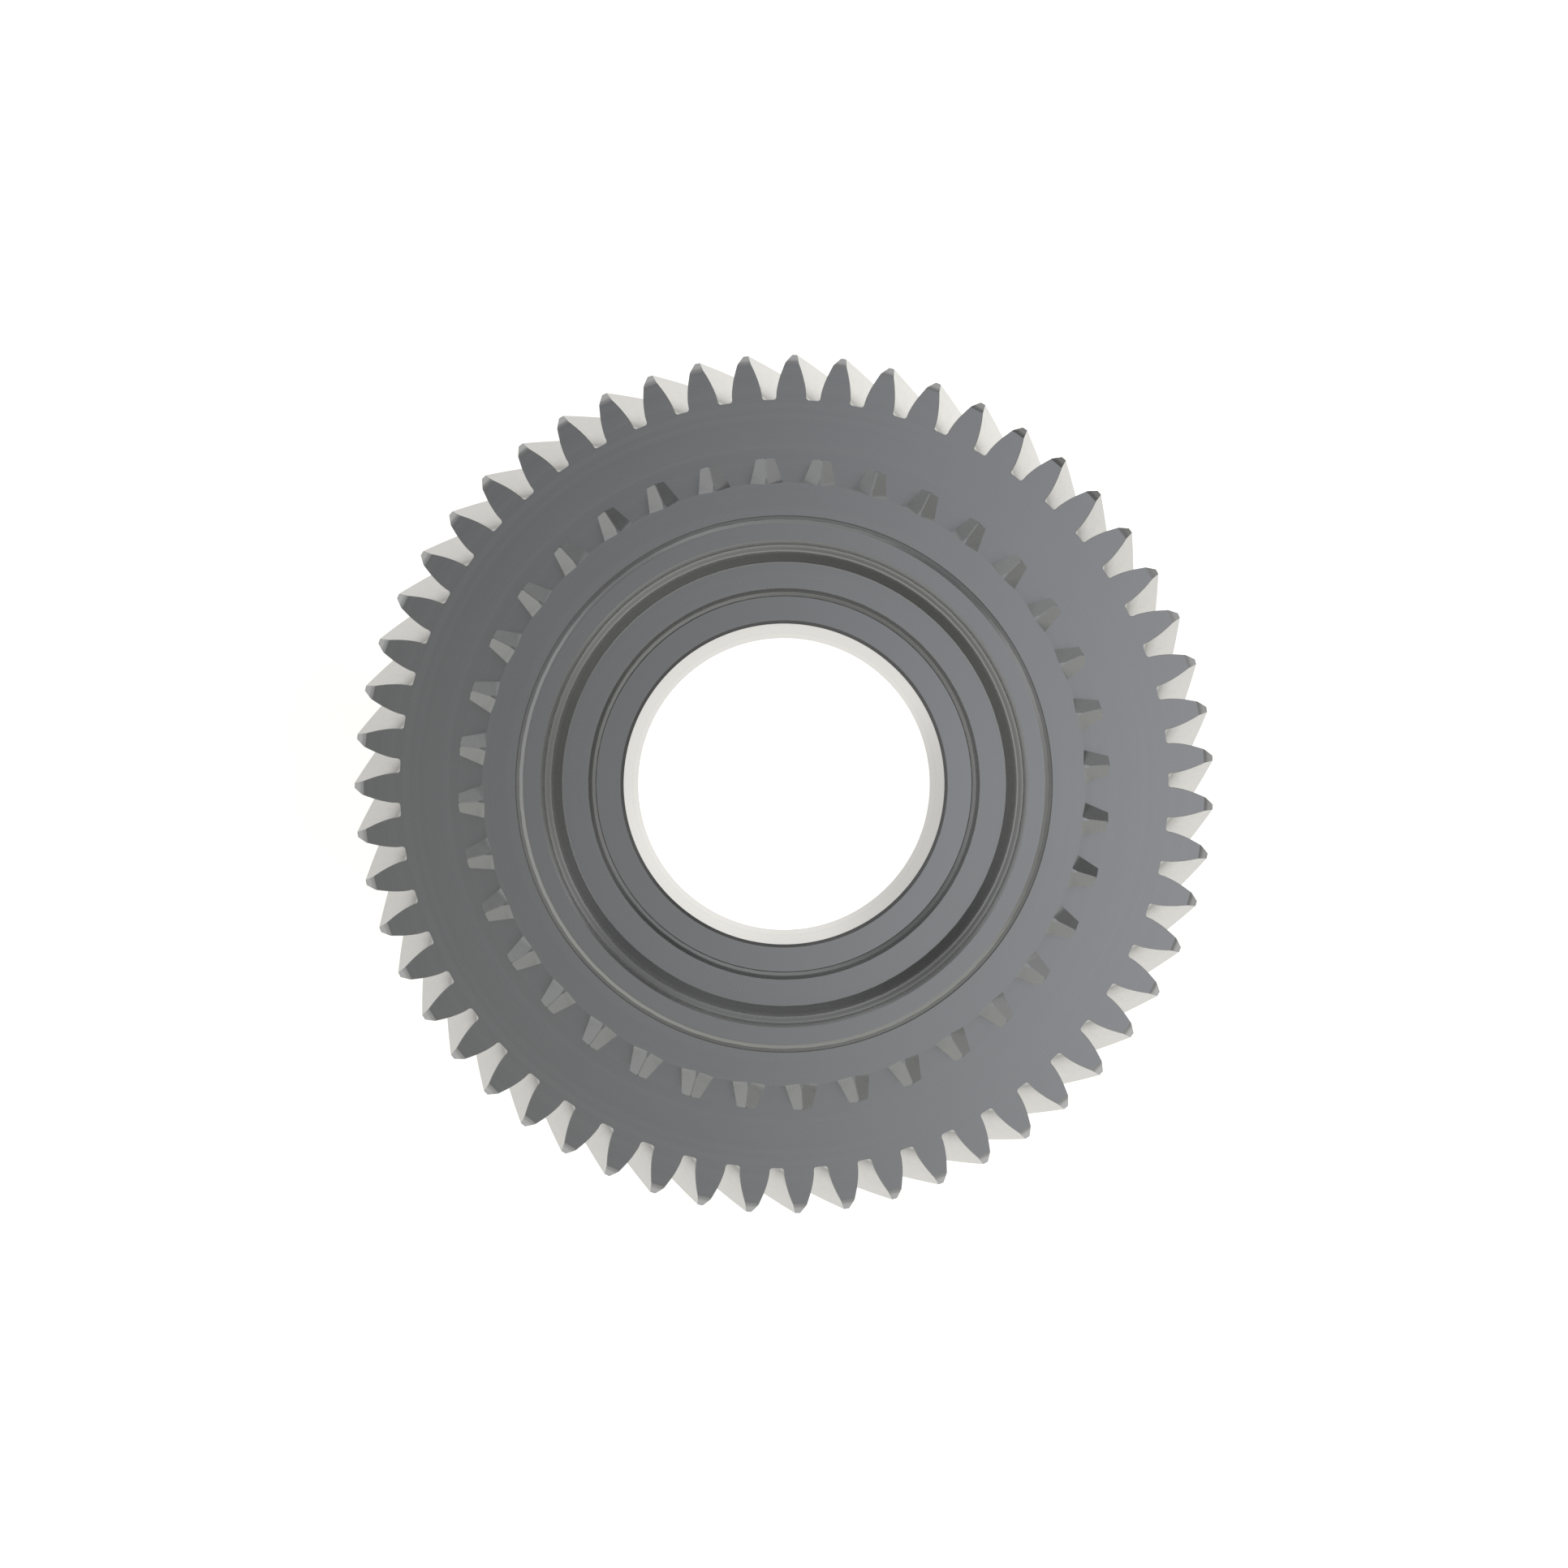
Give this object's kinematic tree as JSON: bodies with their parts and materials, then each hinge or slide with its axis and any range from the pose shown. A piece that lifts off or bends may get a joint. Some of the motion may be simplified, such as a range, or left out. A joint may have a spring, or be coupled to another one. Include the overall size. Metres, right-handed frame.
{
  "type": "helical gear",
  "caption": "Free-running helical gear wheel with a welded clutch ring, turning on a caged needle bearing around a flanged sleeve.",
  "frame": {"origin": "on the gear's axis, at the back face of the hub, on which the part lies", "axes": "+Z along the gear's axis, from the back face of the hub towards the clutch ring; +X and +Y across it"},
  "size_m": [0.2108, 0.2108, 0.07],
  "materials": {
    "gear_steel": "case-hardened gear steel, turned faces and ground tooth flanks",
    "clutch_steel": "turned face, forged and milled clutch teeth",
    "weld": "dark machined weld bead",
    "race_steel": "ground bearing steel",
    "bronze": "turned bronze",
    "spring_steel": "blackened spring steel",
    "cage_steel": "phosphated sheet steel",
    "needle_steel": "ground and lapped bearing steel"
  },
  "bodies": {
    "sleeve": {"bearing_sleeve": "race_steel", "thrust_washer": "bronze", "snap_ring": "spring_steel"},
    "gear": {"gear_wheel": "gear_steel", "clutch_ring": "clutch_steel", "weld_seam": "weld"},
    "cage": {"needle_cage": "cage_steel", "needle_01": "needle_steel", "needle_02": "needle_steel", "needle_03": "needle_steel", "needle_04": "needle_steel", "needle_05": "needle_steel", "needle_06": "needle_steel", "needle_07": "needle_steel", "needle_08": "needle_steel", "needle_09": "needle_steel", "needle_10": "needle_steel", "needle_11": "needle_steel", "needle_12": "needle_steel", "needle_13": "needle_steel", "needle_14": "needle_steel", "needle_15": "needle_steel", "needle_16": "needle_steel", "needle_17": "needle_steel", "needle_18": "needle_steel", "needle_19": "needle_steel", "needle_20": "needle_steel", "needle_21": "needle_steel", "needle_22": "needle_steel", "needle_23": "needle_steel", "needle_24": "needle_steel", "needle_25": "needle_steel", "needle_26": "needle_steel", "needle_27": "needle_steel", "needle_28": "needle_steel", "needle_29": "needle_steel", "needle_30": "needle_steel", "needle_31": "needle_steel", "needle_32": "needle_steel", "needle_33": "needle_steel", "needle_34": "needle_steel", "needle_35": "needle_steel", "needle_36": "needle_steel"}
  },
  "joints": [
    {"name": "gear_spin", "type": "hinge", "parent": "sleeve", "child": "gear", "pos_m": [0, 0, 0.03], "axis": [0, 0, 1], "continuous": true},
    {"name": "cage_spin", "type": "hinge", "parent": "sleeve", "child": "cage", "pos_m": [0, 0, 0.03], "axis": [0, 0, 1], "continuous": true}
  ],
  "couplings": [
    {"joint": "cage_spin", "follows": "gear_spin", "ratio": 0.5222}
  ]
}
